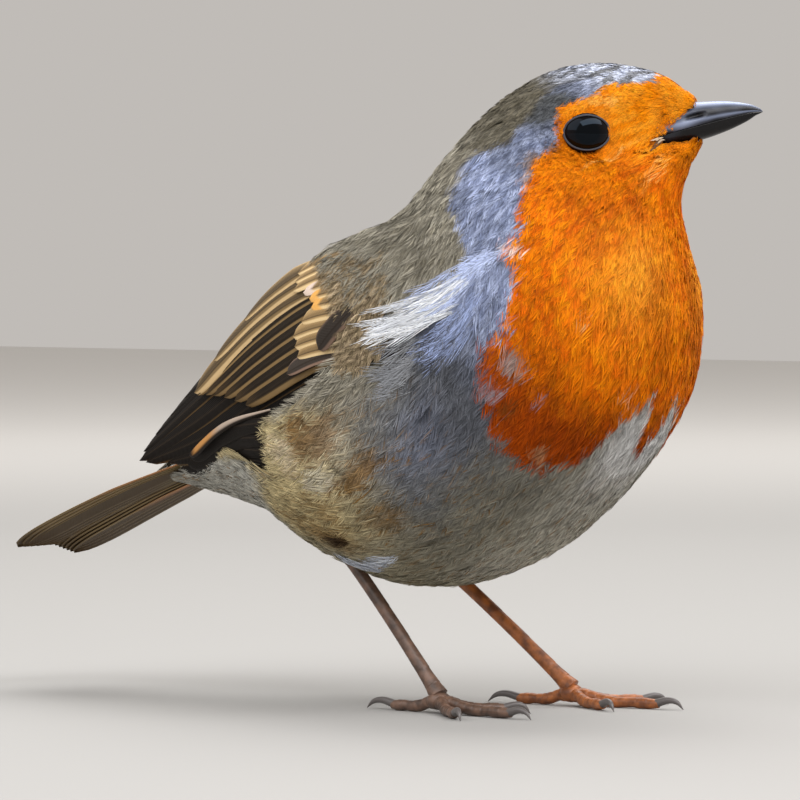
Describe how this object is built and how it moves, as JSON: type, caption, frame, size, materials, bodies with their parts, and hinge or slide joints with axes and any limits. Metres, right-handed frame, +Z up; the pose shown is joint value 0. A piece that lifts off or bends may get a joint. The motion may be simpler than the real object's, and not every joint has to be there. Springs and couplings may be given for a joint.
{
  "type": "robin",
  "caption": "Life-size European robin standing on both feet, a round small songbird with an orange face and breast, brown wings and an olive back.",
  "frame": {"origin": "middle of the bird's box, on the floor that its feet stand on", "axes": "+X the way the body heads, +Y to the bird's left, +Z up"},
  "size_m": [0.1166, 0.052, 0.0922],
  "materials": {
    "plumage": "soft overlapping body feathers: orange, blue-grey, olive and white",
    "flight_feathers": "stiff brown wing and tail feathers with buff edges",
    "bill": "dark horn with a dull bluish gloss",
    "eye": "wet near-black eye",
    "leg_skin": "scaled brown leg and toe skin",
    "claw": "grey horn"
  },
  "bodies": {
    "root": {"trunk": "plumage", "neck": "plumage", "head": "plumage", "tail": "flight_feathers", "bill_upper": "bill", "bill_lower": "bill", "eye_right": "eye", "wing_right_primaries": "flight_feathers", "wing_right_secondaries": "flight_feathers", "wing_right_coverts": "flight_feathers", "eye_left": "eye", "wing_left_primaries": "flight_feathers", "wing_left_secondaries": "flight_feathers", "wing_left_coverts": "flight_feathers", "thigh_right": "plumage", "tarsus_right": "leg_skin", "toe_right_middle": "leg_skin", "claw_right_middle": "claw", "toe_right_inner": "leg_skin", "claw_right_inner": "claw", "toe_right_outer": "leg_skin", "claw_right_outer": "claw", "toe_right_hind": "leg_skin", "claw_right_hind": "claw", "thigh_left": "plumage", "tarsus_left": "leg_skin", "toe_left_middle": "leg_skin", "claw_left_middle": "claw", "toe_left_inner": "leg_skin", "claw_left_inner": "claw", "toe_left_outer": "leg_skin", "claw_left_outer": "claw", "toe_left_hind": "leg_skin", "claw_left_hind": "claw"}
  },
  "joints": []
}
